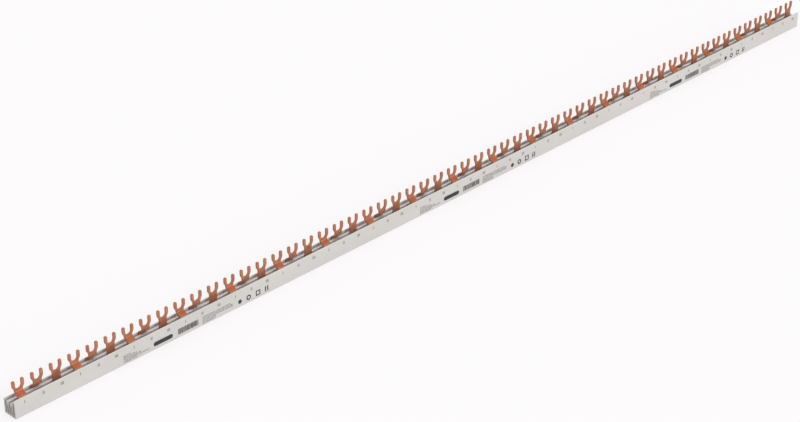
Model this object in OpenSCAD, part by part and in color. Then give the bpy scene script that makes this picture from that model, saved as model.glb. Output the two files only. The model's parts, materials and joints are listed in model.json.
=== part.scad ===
// Three-phase comb busbar with fork terminals.
// An extruded insulating housing, open along its top, holds three stamped copper combs.
// X runs along the bar, -Y is the printed front wall, and the forks point up, along +Z.
// The origin is at the middle of the base.

/* [Terminals] */
// Distance from one fork to the next
pitch = 17.8; // [16:0.1:27]
// Forks on each phase bar
forks_per_phase = 19; // [2:1:19]

/* [Copper] */
// Thickness of the copper strip
bar_t = 1.6; // [1.2:0.1:2]
// Height of the strip in its channel
bar_h = 9.5; // [8:0.5:14]
// Clearance on each side of a strip in its channel
bar_gap = 0.2; // [0.1:0.05:0.4]
// Distance from one strip to the next across the housing
bar_spacing = 4.9; // [4.6:0.1:6]
// How far the strips stop short of the housing's ends
bar_inset = 1.5; // [0.5:0.5:3]
// Inner radius of the bends in a cranked neck
bend_r = 0.8; // [0.5:0.1:1]
// Slope of a cranked neck, below level
crank_deg = 34; // [28:1:40]
// Depth of the front bar's lower bend below the front wall's rim
front_bend_drop = 0.8; // [0.4:0.1:1.6]
// Height of the rear bar's lower bend above the rear wall's rim
rear_bend_rise = 0.6; // [0.4:0.1:2]
// Fillet between a neck and its strip
neck_fillet = 0.8; // [0.4:0.1:1]

/* [Forks] */
// Width across both tines
fork_w = 11; // [10:0.5:13]
// Width of the screw slot
slot_w = 6; // [5:0.1:6.5]
// Depth of the screw slot, from the tips
slot_depth = 7.8; // [7.3:0.1:9]
// Width of the neck under the tines
neck_w = 7.4; // [6.6:0.1:9]
// Straight length of the tines' outer edges, from the tips
tine_straight = 4.2; // [2:0.1:4.7]
// Height of the curved flank from tine to neck
flank_h = 5.4; // [4:0.1:6]
// Corner radius at the tips of the tines
tip_r = 0.7; // [0.3:0.1:0.9]
// Height of the tips above the front wall
fork_rise = 12.5; // [12:0.5:16]

/* [Housing] */
// Thickness of the front and rear walls
wall_t = 1.3; // [1.1:0.1:2]
// Thickness of the floor
floor_t = 1; // [0.8:0.1:3]
// Height of the partitions above the strips
partition_rise = 2; // [0.5:0.1:2.5]
// Height of the rear wall above the partitions
rear_wall_rise = 0.9; // [0.6:0.1:2]
// Height of the front wall above the partitions
front_wall_rise = 4; // [3:0.1:6]
// Thickness of the webs beside the hollow in a partition
web_t = 0.8; // [0.6:0.1:1]
// Thickness of the solid head over that hollow
head_t = 3; // [1.5:0.1:4]
// Length of the housing past the first and last forks
end_margin = 9.4; // [8:0.1:14]
// Radius of the rims of the walls
rim_r = 0.5; // [0.2:0.1:0.5]
// Radius of the housing's two lower edges
foot_r = 0.5; // [0.2:0.1:0.9]

/* [Hidden] */
$fn = 48;
eps = 0.01;

phases = 3;
forks = phases * forks_per_phase;
fork_span = (forks - 1) * pitch;
housing_l = fork_span + 2 * end_margin;
bar_l = housing_l - 2 * bar_inset;

// Levels, from the base up
strip_top = floor_t + bar_h;
partition_h = strip_top + partition_rise;
rear_h = partition_h + rear_wall_rise;
front_h = partition_h + front_wall_rise;
tip_z = front_h + fork_rise;
slot_floor = tip_z - slot_depth;
flank_top = tip_z - tine_straight;
flank_foot = flank_top - flank_h;

// Places across the housing. The forks stand in one plane, y = 0.
channel_w = bar_t + 2 * bar_gap;
housing_d = 2 * (bar_spacing + channel_w / 2 + wall_t);
partition_t = bar_spacing - channel_w;
hollow_w = partition_t - 2 * web_t;

// A cranked neck turns through turn_deg at each of its two bends
turn_deg = 90 - crank_deg;
mid_r = bend_r + bar_t / 2;
bend_run = mid_r * tan(turn_deg / 2);
bend_steps = 8;

plastic = [0.84, 0.83, 0.81];
copper = [0.74, 0.43, 0.28];

// Every third fork along the bar belongs to one phase
function fork_x(i) = i * pitch - fork_span / 2;

// An upright bar with both top corners rounded
module rounded_bar(x, width, foot, top, r) {
    translate([x, foot]) square([width, top - r - foot]);
    translate([x + r, foot]) square([width - 2 * r, top - foot]);
    for (corner = [x + r, x + width - r])
        translate([corner, top - r]) circle(r);
}

// ---- Housing ----

// What is taken off a lower edge to round it
module foot_corner() {
    difference() {
        translate([housing_d / 2 - foot_r, -eps]) square(foot_r + eps);
        translate([housing_d / 2 - foot_r, foot_r]) circle(foot_r);
    }
}

module housing_section() {
    difference() {
        union() {
            translate([-housing_d / 2, 0]) square([housing_d, floor_t]);
            rounded_bar(-housing_d / 2, wall_t, 0, front_h, rim_r);
            rounded_bar(housing_d / 2 - wall_t, wall_t, 0, rear_h, rim_r);
            for (side = [-1, 1])
                rounded_bar(side * bar_spacing / 2 - partition_t / 2, partition_t, 0, partition_h, rim_r);
        }
        for (side = [-1, 1])
            translate([side * bar_spacing / 2 - hollow_w / 2, floor_t])
                square([hollow_w, partition_h - head_t - floor_t]);
        for (side = [0, 1]) mirror([side, 0]) foot_corner();
    }
}

module housing() {
    color(plastic)
        translate([-housing_l / 2, 0, 0]) rotate([90, 0, 90])
            linear_extrude(housing_l) housing_section();
}

// ---- Phase bars ----

// One flank of a fork: an S of two equal arcs from the neck out to the tine
module flank() {
    step = (fork_w - neck_w) / 2;
    arc_r = (flank_h * flank_h + step * step) / (4 * step);
    difference() {
        translate([0, flank_foot]) square([fork_w / 2, flank_h / 2]);
        translate([neck_w / 2 + arc_r, flank_foot]) circle(arc_r);
    }
    intersection() {
        translate([0, flank_top - flank_h / 2]) square([fork_w / 2, flank_h / 2]);
        translate([fork_w / 2 - arc_r, flank_top]) circle(arc_r);
    }
}

// The fillet where a neck rises from its strip
module root_fillet() {
    difference() {
        translate([neck_w / 2, strip_top]) square(neck_fillet);
        translate([neck_w / 2 + neck_fillet, strip_top + neck_fillet]) circle(neck_fillet);
    }
}

// A fork and its neck, seen from the front
module fork_outline() {
    tine_w = (fork_w - slot_w) / 2;
    difference() {
        union() {
            translate([-neck_w / 2, strip_top]) square([neck_w, flank_foot - strip_top]);
            for (side = [0, 1]) mirror([side, 0]) {
                flank();
                root_fillet();
                rounded_bar(slot_w / 2, tine_w, flank_top, tip_z, tip_r);
            }
        }
        translate([0, slot_floor + slot_w / 2]) circle(slot_w / 2);
        translate([-slot_w / 2, slot_floor + slot_w / 2]) square([slot_w, slot_depth]);
    }
}

// Points along an arc, for one face of a bend
function arc(centre, r, from, to) =
    [for (k = [0:bend_steps]) let (a = from + (to - from) * k / bend_steps) centre + r * [cos(a), sin(a)]];

// Side view of a cranked neck: down from the fork plane, forward and down, then down into
// its channel. lower_z is where the middle lines of the slope and the strip meet.
module cranked_section(lower_z) {
    upper_z = lower_z + bar_spacing * tan(crank_deg);
    upper_centre = [-mid_r, upper_z + bend_run];
    lower_centre = [mid_r - bar_spacing, lower_z - bend_run];
    inner_r = bend_r;
    outer_r = bend_r + bar_t;
    polygon(concat(
        [[-bar_t / 2, tip_z]],
        arc(upper_centre, inner_r, 0, -turn_deg),
        arc(lower_centre, outer_r, 180 - turn_deg, 180),
        [[-bar_spacing - bar_t / 2, strip_top], [-bar_spacing + bar_t / 2, strip_top]],
        arc(lower_centre, inner_r, 180, 180 - turn_deg),
        arc(upper_centre, outer_r, -turn_deg, 0),
        [[bar_t / 2, tip_z]]
    ));
}

// One fork of the front bar, standing over x = 0
module cranked_fork(lower_z) {
    intersection() {
        translate([-fork_w / 2 - neck_fillet, 0, 0]) rotate([90, 0, 90])
            linear_extrude(fork_w + 2 * neck_fillet) cranked_section(lower_z);
        rotate([90, 0, 0]) linear_extrude(2 * bar_spacing + 2 * bar_t, center = true)
            fork_outline();
    }
}

// A strip lying in the channel at y
module strip(y) {
    translate([-bar_l / 2, y - bar_t / 2, floor_t]) cube([bar_l, bar_t, bar_h]);
}

// Places the forks of one phase, whose first fork is number first
module each_fork(first) {
    for (k = [0:forks_per_phase - 1])
        translate([fork_x(phases * k + first), 0, 0]) children();
}

module front_phase_bar() {
    color(copper) {
        strip(-bar_spacing);
        each_fork(0) cranked_fork(front_h - front_bend_drop);
    }
}

module rear_phase_bar() {
    color(copper) {
        strip(bar_spacing);
        each_fork(1) mirror([0, 1, 0]) cranked_fork(rear_h + rear_bend_rise);
    }
}

module middle_phase_bar() {
    color(copper) {
        strip(0);
        each_fork(2) rotate([90, 0, 0]) linear_extrude(bar_t, center = true) fork_outline();
    }
}

housing();
front_phase_bar();
rear_phase_bar();
middle_phase_bar();
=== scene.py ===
import json
import math
import random

import bmesh
import bpy
from mathutils import Matrix, Vector


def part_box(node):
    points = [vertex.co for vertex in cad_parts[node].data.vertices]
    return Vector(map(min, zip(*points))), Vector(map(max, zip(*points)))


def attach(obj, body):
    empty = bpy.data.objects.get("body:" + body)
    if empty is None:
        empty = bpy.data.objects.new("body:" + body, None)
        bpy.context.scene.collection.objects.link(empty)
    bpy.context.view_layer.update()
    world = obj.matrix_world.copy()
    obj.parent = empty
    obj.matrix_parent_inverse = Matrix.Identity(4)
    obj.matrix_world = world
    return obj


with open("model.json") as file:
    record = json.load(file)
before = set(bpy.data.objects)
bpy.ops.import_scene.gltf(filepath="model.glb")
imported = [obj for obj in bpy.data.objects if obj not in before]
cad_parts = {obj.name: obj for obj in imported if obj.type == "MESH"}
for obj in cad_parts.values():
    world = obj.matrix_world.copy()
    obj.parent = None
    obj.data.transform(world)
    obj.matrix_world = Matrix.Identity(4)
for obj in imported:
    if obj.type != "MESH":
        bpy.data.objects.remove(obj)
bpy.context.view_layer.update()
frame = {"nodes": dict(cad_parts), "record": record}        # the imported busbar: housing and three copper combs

mm = 0.001
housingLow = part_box("housing")[0]
frontY = housingLow[1]                     # outer face of the printed wall
mountPlaces = {m["name"]: m["pos_m"] for m in frame["record"]["mounts"]}
firstForkX = mountPlaces["fork_01_front_phase"][0]
pitch = mountPlaces["fork_02_rear_phase"][0] - firstForkX
forkCount = round(-2 * firstForkX / pitch) + 1


def forkX(number):
    return firstForkX + number * pitch


viewPoint = {
    "place": (-1.2192, -1.13396, 0.92845),
    "heading": 44.975,                     # degrees from +X towards +Y
    "dip": 29.793,                         # degrees below level
    "lens": 93.28,
    "sensor": 36.0,
    "clip": (0.05, 50.0),
}


def makeCamera(v):
    turn, dip = math.radians(v["heading"]), math.radians(v["dip"])
    level = math.cos(dip)
    ahead = Vector((math.cos(turn) * level, math.sin(turn) * level, -math.sin(dip)))
    right = Vector((math.sin(turn), -math.cos(turn), 0))
    up = right.cross(ahead)
    camData = bpy.data.cameras.new("camera")
    camData.lens = v["lens"]
    camData.sensor_width = v["sensor"]
    camData.clip_start, camData.clip_end = v["clip"]
    cam = bpy.data.objects.new("camera", camData)
    facing = Matrix((right, up, -ahead)).transposed().to_4x4()
    cam.matrix_world = Matrix.Translation(v["place"]) @ facing
    bpy.context.scene.collection.objects.link(cam)
    bpy.context.scene.camera = cam


makeCamera(viewPoint)
print("camera placed")


def newMaterial(name):
    mat = bpy.data.materials.new(name)
    mat.use_nodes = True
    tree = mat.node_tree
    shader = tree.nodes["Principled BSDF"]
    return mat, tree, shader


def addNode(tree, kind, **settings):
    node = tree.nodes.new(kind)
    for key, value in settings.items():
        setattr(node, key, value)
    return node


def stretchedNoise(tree, scale, detail=3.0, roughness=0.5):
    # noise over the object's own metres, with a scale for each axis
    coords = addNode(tree, "ShaderNodeTexCoord")
    mapping = addNode(tree, "ShaderNodeMapping")
    mapping.inputs["Scale"].default_value = scale
    noise = addNode(tree, "ShaderNodeTexNoise")
    noise.inputs["Scale"].default_value = 1.0
    noise.inputs["Detail"].default_value = detail
    noise.inputs["Roughness"].default_value = roughness
    tree.links.new(coords.outputs["Object"], mapping.inputs["Vector"])
    tree.links.new(mapping.outputs["Vector"], noise.inputs["Vector"])
    return noise.outputs["Fac"]


def remap(tree, value, fromLow, fromHigh, toLow=0.0, toHigh=1.0):
    node = addNode(tree, "ShaderNodeMapRange")
    for socket, number in (("From Min", fromLow), ("From Max", fromHigh),
                           ("To Min", toLow), ("To Max", toHigh)):
        node.inputs[socket].default_value = number
    tree.links.new(value, node.inputs["Value"])
    return node.outputs["Result"]


def blendColours(tree, factor, first, second, kind="MIX"):
    node = addNode(tree, "ShaderNodeMix", data_type="RGBA", blend_type=kind)
    if isinstance(factor, float):
        node.inputs["Factor"].default_value = factor
    else:
        tree.links.new(factor, node.inputs["Factor"])
    for socket, colour in (("A", first), ("B", second)):
        target = next(s for s in node.inputs if s.name == socket and s.type == "RGBA")
        if isinstance(colour, tuple):
            target.default_value = (*colour, 1)
        else:
            tree.links.new(colour, target)
    return next(s for s in node.outputs if s.type == "RGBA")


def add(tree, first, second, clamp=False):
    node = addNode(tree, "ShaderNodeMath", operation="ADD", use_clamp=clamp)
    tree.links.new(first, node.inputs[0])
    tree.links.new(second, node.inputs[1])
    return node.outputs["Value"]


def faceAlong(tree, axis, low, high):
    # 1 where a face looks along the axis, either way, and 0 where it lies along it
    geometry = addNode(tree, "ShaderNodeNewGeometry")
    parts = addNode(tree, "ShaderNodeSeparateXYZ")
    size = addNode(tree, "ShaderNodeMath", operation="ABSOLUTE")
    tree.links.new(geometry.outputs["True Normal"], parts.inputs["Vector"])
    tree.links.new(parts.outputs[axis], size.inputs[0])
    return remap(tree, size.outputs["Value"], low, high)


def pickValue(tree, factor, first, second):
    node = addNode(tree, "ShaderNodeMix", data_type="FLOAT")
    for socket, value in (("Factor", factor), ("A", first), ("B", second)):
        tree.links.new(value, node.inputs[socket])
    return node.outputs["Result"]


def addBump(tree, shader, height, distance, strength):
    bump = addNode(tree, "ShaderNodeBump")
    bump.inputs["Strength"].default_value = strength
    bump.inputs["Distance"].default_value = distance
    tree.links.new(height, bump.inputs["Height"])
    tree.links.new(bump.outputs["Normal"], shader.inputs["Normal"])


# the housing is extruded light grey plastic with sawn ends
housingFinish = {
    "colour": (0.599, 0.576, 0.552),
    "shade": (0.563, 0.541, 0.519),        # faint clouding
    "sawn": (0.560, 0.540, 0.525),
    "roughness": (0.36, 0.50),
    "ior": 1.5,
    "dieLines": (3.0, 900.0, 1400.0),      # noise scale: long along X, fine across
    "lineRange": (0.5, 0.8, 0.0, 0.35),    # noise from and to, then how much it shades
    "glossRange": (0.3, 0.7),
    "clouds": (18.0, 60.0, 60.0),
    "cloudRange": (0.35, 0.7),
    "sawMarks": (60.0, 900.0, 70.0),
    "sawnFacing": (0.8, 0.9),              # how squarely a face looks along X to count
    "bump": 0.00003,
    "bumpStrength": 0.25,
}


def makeHousingPlastic(f):
    mat, tree, shader = newMaterial("extrudedPlastic")
    lines = stretchedNoise(tree, f["dieLines"], detail=2.0)
    clouds = stretchedNoise(tree, f["clouds"], detail=4.0)
    saw = stretchedNoise(tree, f["sawMarks"], detail=2.0)
    sawn = faceAlong(tree, "X", *f["sawnFacing"])
    clouded = remap(tree, clouds, *f["cloudRange"])
    base = blendColours(tree, clouded, f["colour"], f["shade"])
    withLines = blendColours(tree, remap(tree, lines, *f["lineRange"]), base, f["shade"])
    colour = blendColours(tree, sawn, withLines, f["sawn"])
    tree.links.new(colour, shader.inputs["Base Color"])
    gloss = remap(tree, lines, *f["glossRange"], *f["roughness"])
    tree.links.new(gloss, shader.inputs["Roughness"])
    shader.inputs["IOR"].default_value = f["ior"]
    addBump(tree, shader, pickValue(tree, sawn, lines, saw), f["bump"], f["bumpStrength"])
    return mat


# the phase bars are rolled copper, stamped and bent
copperFinish = {
    "bright": (0.545, 0.222, 0.124),
    "toned": (0.408, 0.152, 0.083),         # lightly oxidised patches
    "shearedAndShaded": (0.400, 0.190, 0.130),       # cut edges: a sheared-metal brown, darkened further by painted shade
    "slopeShadeTint": (0.820, 0.620, 0.510),     # painted shade: the slopes darker and redder, to tone down how brightly the key light falls on them
    "metallic": 0.6,                       # a thin dull film covers the metal
    "specular": 0.3,
    "roughness": (0.34, 0.50),
    "rolling": (25.0, 1500.0, 1500.0),     # streaks left by the rolls, along the strip
    "streakRange": (0.45, 0.85, 0.0, 0.4),
    "glossRange": (0.3, 0.7),
    "patches": (140.0, 140.0, 140.0),
    "patchRange": (0.38, 0.68),
    "shearMarks": (2200.0, 90.0, 300.0),
    "shearRange": (0.3, 0.7),
    "flatFacing": (0.2, 0.4),              # faces of the strip, against its cut edges
    "uprightFacing": (0.66, 0.9),          # upright faces, against the slopes
    "bump": 0.00002,
    "bumpStrength": 0.3,
}


def makeCopper(f):
    mat, tree, shader = newMaterial("rolledCopper")
    rolling = stretchedNoise(tree, f["rolling"], detail=2.0)
    patches = stretchedNoise(tree, f["patches"], detail=4.0, roughness=0.6)
    shear = stretchedNoise(tree, f["shearMarks"], detail=2.0)
    flat = faceAlong(tree, "Y", *f["flatFacing"])
    upright = faceAlong(tree, "Y", *f["uprightFacing"])
    patched = remap(tree, patches, *f["patchRange"])
    toned = blendColours(tree, patched, f["bright"], f["toned"])
    streaked = blendColours(tree, remap(tree, rolling, *f["streakRange"]), toned, f["toned"])
    # the cut edges: sheared-metal marks, with painted shade in their darker colour
    edge = blendColours(tree, remap(tree, shear, *f["shearRange"]), f["shearedAndShaded"], f["toned"])
    # painted shade: the slopes take the darker, redder tint; upright faces keep their own colour
    slopeShade = blendColours(tree, upright, f["slopeShadeTint"], (1.0, 1.0, 1.0))
    faces = blendColours(tree, 1.0, streaked, slopeShade, "MULTIPLY")
    colour = blendColours(tree, flat, edge, faces)
    tree.links.new(colour, shader.inputs["Base Color"])
    shader.inputs["Metallic"].default_value = f["metallic"]
    shader.inputs["Specular IOR Level"].default_value = f["specular"]
    gloss = remap(tree, rolling, *f["glossRange"], *f["roughness"])
    tree.links.new(gloss, shader.inputs["Roughness"])
    addBump(tree, shader, pickValue(tree, flat, shear, rolling), f["bump"], f["bumpStrength"])
    return mat


def dress(node, mat):
    mesh = frame["nodes"][node].data
    for number in range(len(mesh.materials)):
        mesh.materials[number] = mat


dress("housing", makeHousingPlastic(housingFinish))
copper = makeCopper(copperFinish)
for bar in ("front_phase_bar", "rear_phase_bar", "middle_phase_bar"):
    dress(bar, copper)
print("housing and bars dressed")


# the print is plain shapes of ink, a hair proud of the front wall
inkLayer = {"proud": 0.02 * mm, "sunk": 0.02 * mm}


def inMetres(points):
    return [(x * mm, z * mm) for x, z in points]


def prism(bm, outline, hole=None):
    # outline: (x, z) points, run either way; hole: a second outline with as many points
    nearY, farY = frontY - inkLayer["proud"], frontY + inkLayer["sunk"]
    loops = [outline] if hole is None else [outline, hole]
    near = [[bm.verts.new((x, nearY, z)) for x, z in loop] for loop in loops]
    far = [[bm.verts.new((x, farY, z)) for x, z in loop] for loop in loops]
    count = len(outline)
    for k in range(count):
        n = (k + 1) % count
        bm.faces.new((near[0][k], near[0][n], far[0][n], far[0][k]))
        if hole is not None:
            bm.faces.new((near[1][n], near[1][k], far[1][k], far[1][n]))
            bm.faces.new((near[0][n], near[0][k], near[1][k], near[1][n]))
            bm.faces.new((far[0][k], far[0][n], far[1][n], far[1][k]))
    if hole is None:
        bm.faces.new(near[0][::-1])
        bm.faces.new(far[0])


def rectangle(x, z, width, height):
    return [(x, z), (x + width, z), (x + width, z + height), (x, z + height)]


def disc(x, z, radius, sides=24):
    return [(x + radius * math.cos(2 * math.pi * k / sides),
             z + radius * math.sin(2 * math.pi * k / sides)) for k in range(sides)]


def roundedBar(x, z, width, height, sides=8):
    # a lying bar with half-round ends
    r = height / 2
    right = [(x + width - r + r * math.sin(math.pi * k / sides),
              z + r - r * math.cos(math.pi * k / sides)) for k in range(sides + 1)]
    left = [(x + r - r * math.sin(math.pi * k / sides),
             z + r + r * math.cos(math.pi * k / sides)) for k in range(sides + 1)]
    return right + left


inkFinish = {
    "grey": (0.17, 0.165, 0.16),
    "greyWorn": (0.28, 0.27, 0.262),
    "dark": (0.012, 0.012, 0.013),
    "darkWorn": (0.036, 0.035, 0.034),
    "roughness": 0.55,
    "speckle": (700.0, 700.0, 700.0),
    "speckleGrain": 0.7,
    "speckleRange": (0.45, 0.75),
}


def makeInk(name, colour, worn, f):
    mat, tree, shader = newMaterial(name)
    speckle = stretchedNoise(tree, f["speckle"], roughness=f["speckleGrain"])
    shade = blendColours(tree, remap(tree, speckle, *f["speckleRange"]), colour, worn)
    tree.links.new(shade, shader.inputs["Base Color"])
    shader.inputs["Roughness"].default_value = f["roughness"]
    return mat


def finishPiece(name, bm, mat):
    bmesh.ops.recalc_face_normals(bm, faces=bm.faces)
    mesh = bpy.data.meshes.new(name)
    bm.to_mesh(mesh)
    bm.free()
    mesh.materials.append(mat)
    piece = bpy.data.objects.new(name, mesh)
    bpy.context.scene.collection.objects.link(piece)
    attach(piece, "root")


greyInk = makeInk("greyInk", inkFinish["grey"], inkFinish["greyWorn"], inkFinish)
darkInk = makeInk("darkInk", inkFinish["dark"], inkFinish["darkWorn"], inkFinish)

# small strokes under each fork: one, two or three for its phase
phaseTicks = {
    "z": 10.7 * mm,
    "height": 2.7 * mm,
    "stroke": 0.7 * mm,
    "step": 1.1 * mm,
    "phases": 3,
}


def makePhaseTicks(t):
    bm = bmesh.new()
    for number in range(forkCount):
        strokes = number % t["phases"] + 1
        start = forkX(number) - ((strokes - 1) * t["step"] + t["stroke"]) / 2
        for k in range(strokes):
            prism(bm, rectangle(start + k * t["step"], t["z"], t["stroke"], t["height"]))
    finishPiece("phase_ticks", bm, greyInk)


# the print repeats along the bar; x and z are in mm, x from the start of each group
printGroups = {
    "starts": (-402.8, -65.9, 259.9),
    "firstNotes": {"x": 0.0, "z": 1.9, "lines": (14.5, 26.3, 19.0, 13.5, 7.5)},
    "field": {"x": 30.6, "z": 3.1, "width": 20.0, "height": 4.0},
    "pattern": {"x": 56.2, "z": 3.1, "width": 21.5, "height": 5.2},
    "longNotes": {"x": 82.2, "z": 1.6, "lines": (14.0, 14.0, 33.0, 33.4, 30.0)},
    "signs": {"x": (122.8, 132.4, 142.9, 152.5), "z": 2.6, "size": 5.0},
}

# strokes as long as words, in rows
noteStrokes = {"step": 1.5, "height": 0.8, "words": (0.9, 3.2), "gaps": (0.35, 0.6), "least": 0.8}
patternStrokes = {"widths": (0.35, 0.6, 0.85), "gaps": (0.2, 0.25, 0.35)}

# each as a share of half a sign's size, but the strokes' width in mm
signShapes = {
    "disc": 0.8,
    "ringHole": 0.52,
    "frameHole": 0.6,
    "strokeShift": 0.5,
    "strokeWidth": 1.2,
}


def noteLines(bm, start, notes, strokes, rng):
    for row, length in enumerate(notes["lines"]):
        x = start + notes["x"]
        z = notes["z"] + row * strokes["step"]
        end = x + length
        while x < end - strokes["least"]:
            word = min(rng.uniform(*strokes["words"]), end - x)
            prism(bm, inMetres(rectangle(x, z, word, strokes["height"])))
            x += word + rng.uniform(*strokes["gaps"])


def makeNotes(groups, strokes):
    rng = random.Random(7)
    bm = bmesh.new()
    for start in groups["starts"]:
        for notes in (groups["firstNotes"], groups["longNotes"]):
            noteLines(bm, start, notes, strokes, rng)
    finishPiece("print_notes", bm, greyInk)


def makePattern(groups, strokes):
    # upright strokes of mixed widths, in no real code
    rng = random.Random(11)
    spec = groups["pattern"]
    bm = bmesh.new()
    for start in groups["starts"]:
        x = start + spec["x"]
        end = x + spec["width"]
        while x < end:
            width = min(rng.choice(strokes["widths"]), end - x)
            prism(bm, inMetres(rectangle(x, spec["z"], width, spec["height"])))
            x += width + rng.choice(strokes["gaps"])
    finishPiece("print_pattern", bm, darkInk)


def makeFields(groups):
    spec = groups["field"]
    bm = bmesh.new()
    for start in groups["starts"]:
        x = start + spec["x"]
        prism(bm, inMetres(roundedBar(x, spec["z"], spec["width"], spec["height"])))
    finishPiece("print_fields", bm, darkInk)


def square(x, z, half):
    return rectangle(x - half, z - half, 2 * half, 2 * half)


def makeSigns(groups, shapes):
    # a disc, a ring, a frame and a pair of strokes
    spec = groups["signs"]
    half = spec["size"] / 2
    middle = spec["z"] + half
    width = shapes["strokeWidth"]
    bm = bmesh.new()
    for start in groups["starts"]:
        discX, ringX, frameX, strokesX = (start + x for x in spec["x"])
        prism(bm, inMetres(disc(discX, middle, half * shapes["disc"])))
        prism(bm, inMetres(disc(ringX, middle, half)),
              inMetres(disc(ringX, middle, half * shapes["ringHole"])))
        prism(bm, inMetres(square(frameX, middle, half)),
              inMetres(square(frameX, middle, half * shapes["frameHole"])))
        for side in (-1, 1):
            left = strokesX + side * half * shapes["strokeShift"] - width / 2
            prism(bm, inMetres(rectangle(left, middle - half, width, 2 * half)))
    finishPiece("print_signs", bm, darkInk)


makePhaseTicks(phaseTicks)
makeNotes(printGroups, noteStrokes)
makePattern(printGroups, patternStrokes)
makeFields(printGroups)
makeSigns(printGroups, signShapes)
print("print laid on the front wall")


# floor and sky look white, and light the object a little less
surroundings = {
    "white": (0.991, 0.976, 0.983),
    "floorWhite": (0.964, 0.949, 0.956),    # a little lower, for the light that falls on it
    "floorSize": 8.0,
    "floorDrop": 0.1 * mm,                  # just under the base
    "floorForObject": (0.500, 0.492, 0.486),  # what the floor throws back at the object
    "shadowShare": 0.3,                     # how much of the floor's look takes the shadow
    "sky": (0.930, 0.930, 0.940),
}


def seenDirectly(tree):
    # 1 for what the camera sees, straight or in metal and glass
    path = addNode(tree, "ShaderNodeLightPath")
    either = add(tree, path.outputs["Is Camera Ray"], path.outputs["Is Glossy Ray"])
    return add(tree, either, path.outputs["Is Transmission Ray"], clamp=True)


def makeFloor(s):
    mat = bpy.data.materials.new("studioFloor")
    mat.use_nodes = True
    tree = mat.node_tree
    tree.nodes.clear()
    output = addNode(tree, "ShaderNodeOutputMaterial")
    glow = addNode(tree, "ShaderNodeEmission")
    glow.inputs["Color"].default_value = (*s["floorWhite"], 1)
    whiteDiffuse = addNode(tree, "ShaderNodeBsdfDiffuse")
    whiteDiffuse.inputs["Color"].default_value = (*s["floorWhite"], 1)
    plain = addNode(tree, "ShaderNodeBsdfDiffuse")
    plain.inputs["Color"].default_value = (*s["floorForObject"], 1)
    shown = addNode(tree, "ShaderNodeMixShader")
    shown.inputs["Fac"].default_value = s["shadowShare"]
    tree.links.new(glow.outputs["Emission"], shown.inputs[1])
    tree.links.new(whiteDiffuse.outputs["BSDF"], shown.inputs[2])
    pick = addNode(tree, "ShaderNodeMixShader")
    tree.links.new(seenDirectly(tree), pick.inputs["Fac"])
    tree.links.new(plain.outputs["BSDF"], pick.inputs[1])
    tree.links.new(shown.outputs["Shader"], pick.inputs[2])
    tree.links.new(pick.outputs["Shader"], output.inputs["Surface"])
    half = s["floorSize"] / 2
    mesh = bpy.data.meshes.new("floor")
    corners = [(-half, -half, 0), (half, -half, 0), (half, half, 0), (-half, half, 0)]
    mesh.from_pydata(corners, [], [(0, 1, 2, 3)])
    mesh.materials.append(mat)
    floor = bpy.data.objects.new("floor", mesh)
    floor.location.z = housingLow[2] - s["floorDrop"]
    bpy.context.scene.collection.objects.link(floor)


def makeSky(s):
    world = bpy.data.worlds.new("studio")
    bpy.context.scene.world = world
    world.use_nodes = True
    tree = world.node_tree
    background = tree.nodes["Background"]
    colour = blendColours(tree, seenDirectly(tree), s["sky"], s["white"])
    tree.links.new(colour, background.inputs["Color"])
    background.inputs["Strength"].default_value = 1.0


makeFloor(surroundings)
makeSky(surroundings)

keyLight = {
    "towards": (0.10, -0.93, 0.36),
    "energy": 1.33,
    "spread": 40.0,                        # degrees across, for soft edges
    "colour": (1.0, 0.992, 0.98),
}


def makeKey(k):
    lampData = bpy.data.lights.new("key", "SUN")
    lampData.energy = k["energy"]
    lampData.angle = math.radians(k["spread"])
    lampData.color = k["colour"]
    lamp = bpy.data.objects.new("key", lampData)
    lamp.rotation_mode = "QUATERNION"
    lamp.rotation_quaternion = Vector(k["towards"]).to_track_quat("Z", "Y")
    bpy.context.scene.collection.objects.link(lamp)


makeKey(keyLight)
bpy.context.scene.view_settings.view_transform = "Standard"
print("floor, sky and key light placed")
